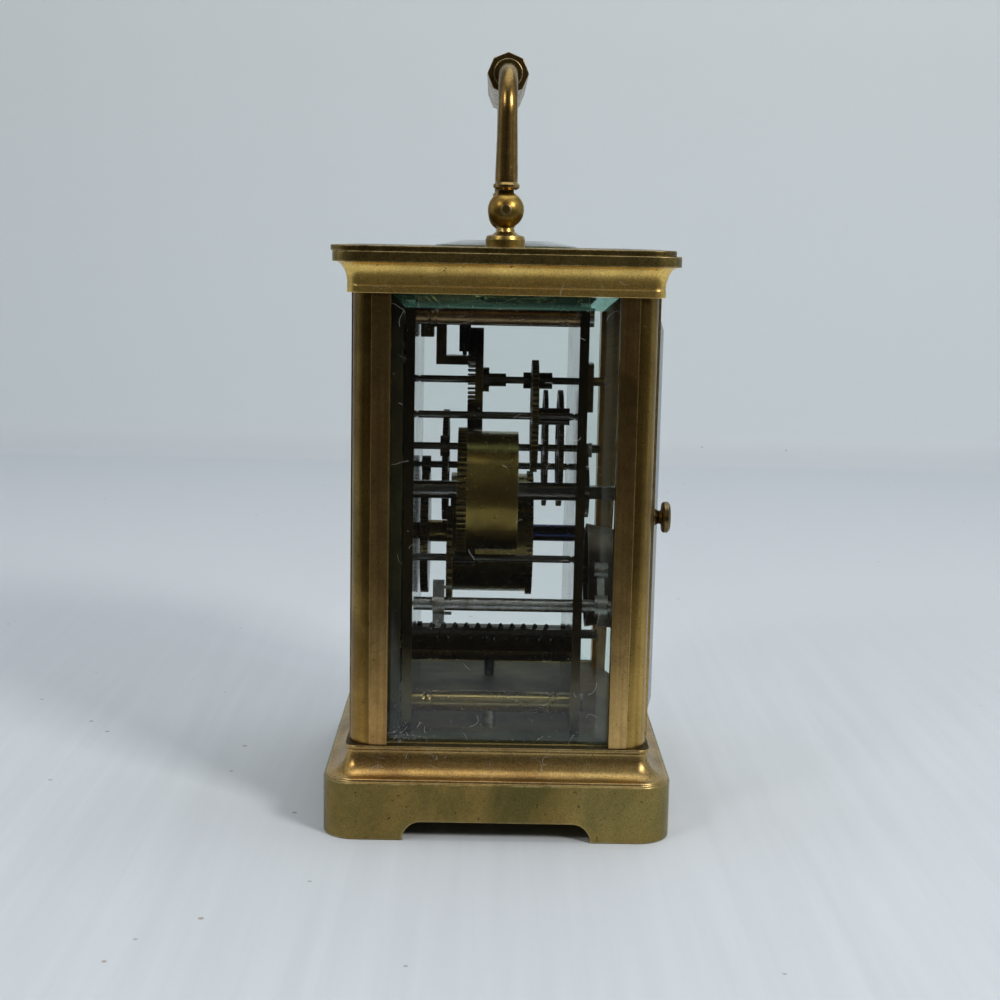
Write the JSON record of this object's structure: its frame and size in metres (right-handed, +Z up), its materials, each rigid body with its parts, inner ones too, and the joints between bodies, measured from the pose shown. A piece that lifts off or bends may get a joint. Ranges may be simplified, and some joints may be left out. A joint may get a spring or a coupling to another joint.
{
  "type": "carriage alarm clock",
  "caption": "Glazed brass carriage clock with an alarm: bevelled panes, a rear door, a folding handle and a geared movement with bell and hammer.",
  "frame": {"origin": "middle of the base's footprint, on the surface that the clock stands on", "axes": "+X to the right seen from the dial, +Y from the dial to the rear door, +Z up"},
  "size_m": [0.0964, 0.082, 0.1816],
  "materials": {
    "case_brass": "aged and worn, satin to polished",
    "movement_brass": "aged gilt",
    "steel": "plain, slightly oiled",
    "blued_steel": "heat blued",
    "glass": "polished, bevelled edges",
    "enamel": "fired white enamel",
    "gilt_mask": "matt gilt",
    "bell_metal": "plated, slightly dull"
  },
  "bodies": {
    "case": {"base": "case_brass", "pillar_front_left": "case_brass", "pillar_front_right": "case_brass", "pillar_rear_left": "case_brass", "pillar_rear_right": "case_brass", "cornice": "case_brass", "top_plate": "case_brass", "top_glass": "glass", "side_glass_left": "glass", "side_glass_right": "glass", "front_glass": "glass", "screws": "steel", "handle_posts": "case_brass", "handle_pins": "steel", "front_plate": "movement_brass", "back_plate": "movement_brass", "movement_pillars": "movement_brass", "dial": "enamel", "dial_mask": "gilt_mask", "mainsprings": "steel", "platform": "movement_brass", "contrate_cocks": "movement_brass", "hairspring": "blued_steel", "balance_cock": "movement_brass", "bell": "bell_metal"},
    "door": {"door_frame": "case_brass", "door_glass": "glass", "door_hinge_pins": "steel", "door_knob": "case_brass"},
    "handle": {"handle_arm_left": "case_brass", "handle_arm_right": "case_brass", "handle_grip": "case_brass"},
    "going_barrel": {"going_barrel": "movement_brass"},
    "going_arbor": {"going_winding_arbor": "steel"},
    "going_click": {"going_click": "steel"},
    "intermediate": {"intermediate_arbor": "steel", "intermediate_wheel": "movement_brass"},
    "centre": {"centre_arbor": "steel", "centre_wheel": "movement_brass", "cannon_pinion": "steel", "minute_hand": "blued_steel"},
    "third": {"third_arbor": "steel", "third_wheel": "movement_brass"},
    "contrate": {"contrate_arbor": "steel", "contrate_wheel": "movement_brass"},
    "escape": {"escape_wheel": "steel"},
    "lever": {"pallet_lever": "steel"},
    "balance": {"balance_wheel": "movement_brass"},
    "minute": {"minute_wheel": "movement_brass"},
    "hour": {"hour_wheel": "movement_brass", "hour_hand": "blued_steel"},
    "alarm_barrel": {"alarm_barrel": "movement_brass"},
    "alarm_arbor_winding": {"alarm_winding_arbor": "steel"},
    "alarm_click": {"alarm_click": "steel"},
    "alarm_wheel": {"alarm_arbor": "steel", "alarm_wheel": "movement_brass"},
    "hammer": {"alarm_hammer": "steel"},
    "alarm_setting": {"alarm_set_arbor": "steel", "alarm_hand": "blued_steel", "alarm_set_spring": "steel"}
  },
  "joints": [
    {"name": "train_spin", "type": "hinge", "parent": "case", "child": "contrate", "pos_m": [0, -0.007, 0.104], "axis": [0, 1, 0], "continuous": true},
    {"name": "third_spin", "type": "hinge", "parent": "case", "child": "third", "pos_m": [0.013, 0.0076, 0.0964], "axis": [0, 1, 0], "continuous": true},
    {"name": "centre_spin", "type": "hinge", "parent": "case", "child": "centre", "pos_m": [0, 0.0133, 0.087], "axis": [0, 1, 0], "continuous": true},
    {"name": "intermediate_spin", "type": "hinge", "parent": "case", "child": "intermediate", "pos_m": [-0.015, -0.0142, 0.0802], "axis": [0, 1, 0], "continuous": true},
    {"name": "going_barrel_spin", "type": "hinge", "parent": "case", "child": "going_barrel", "pos_m": [-0.016, -0.003, 0.0623], "axis": [0, 1, 0], "continuous": true},
    {"name": "minute_wheel_spin", "type": "hinge", "parent": "case", "child": "minute", "pos_m": [0, -0.0244, 0.078], "axis": [0, 1, 0], "continuous": true},
    {"name": "hour_spin", "type": "hinge", "parent": "case", "child": "hour", "pos_m": [0, -0.0261, 0.087], "axis": [0, 1, 0], "continuous": true},
    {"name": "going_winding", "type": "hinge", "parent": "case", "child": "going_arbor", "pos_m": [-0.016, 0.0205, 0.0623], "axis": [0, 1, 0], "continuous": true},
    {"name": "alarm_barrel_spin", "type": "hinge", "parent": "case", "child": "alarm_barrel", "pos_m": [0.016, -0.003, 0.0783], "axis": [0, 1, 0], "continuous": true},
    {"name": "alarm_winding", "type": "hinge", "parent": "case", "child": "alarm_arbor_winding", "pos_m": [0.016, 0.0205, 0.0783], "axis": [0, 1, 0], "continuous": true},
    {"name": "alarm_wheel_spin", "type": "hinge", "parent": "case", "child": "alarm_wheel", "pos_m": [0.0175, -0.0123, 0.0617], "axis": [0, 1, 0], "continuous": true},
    {"name": "alarm_set", "type": "hinge", "parent": "case", "child": "alarm_setting", "pos_m": [0, 0.022, 0.0388], "axis": [0, 1, 0], "continuous": true},
    {"name": "escape_spin", "type": "hinge", "parent": "case", "child": "escape", "pos_m": [0, -0.0097, 0.1212], "axis": [0, 0, 1], "continuous": true},
    {"name": "lever_swing", "type": "hinge", "parent": "case", "child": "lever", "pos_m": [0, -0.0048, 0.1212], "axis": [0, 0, 1], "range_deg": [-5, 5]},
    {"name": "balance_swing", "type": "hinge", "parent": "case", "child": "balance", "pos_m": [0, 0.002, 0.1237], "axis": [0, 0, 1], "range_deg": [-220, 220], "stiffness_Nm_per_rad": 0.000006},
    {"name": "going_click_lift", "type": "hinge", "parent": "case", "child": "going_click", "pos_m": [-0.02104, 0.0205, 0.072], "axis": [0, 1, 0], "range_deg": [-12, 0]},
    {"name": "alarm_click_lift", "type": "hinge", "parent": "case", "child": "alarm_click", "pos_m": [0.01096, 0.0205, 0.088], "axis": [0, 1, 0], "range_deg": [-12, 0]},
    {"name": "hammer_swing", "type": "hinge", "parent": "case", "child": "hammer", "pos_m": [0.029, 0, 0.0526], "axis": [0, 1, 0], "range_deg": [-4, 5]},
    {"name": "rear_door_hinge", "type": "hinge", "parent": "case", "child": "door", "pos_m": [-0.03141, 0.0344, 0.074], "axis": [0, 0, 1], "range_deg": [0, 90]},
    {"name": "handle_fold", "type": "hinge", "parent": "case", "child": "handle", "pos_m": [0, -0.0005, 0.1457], "axis": [1, 0, 0], "range_deg": [-90, 90]}
  ],
  "couplings": [
    {"joint": "escape_spin", "follows": "train_spin", "ratio": -10},
    {"joint": "third_spin", "follows": "train_spin", "ratio": -0.13333},
    {"joint": "centre_spin", "follows": "train_spin", "ratio": 0.016667},
    {"joint": "intermediate_spin", "follows": "train_spin", "ratio": -0.0027778},
    {"joint": "going_barrel_spin", "follows": "train_spin", "ratio": 0.00034722},
    {"joint": "minute_wheel_spin", "follows": "train_spin", "ratio": -0.0055556},
    {"joint": "hour_spin", "follows": "train_spin", "ratio": 0.0013889},
    {"joint": "alarm_wheel_spin", "follows": "alarm_barrel_spin", "ratio": -8}
  ]
}
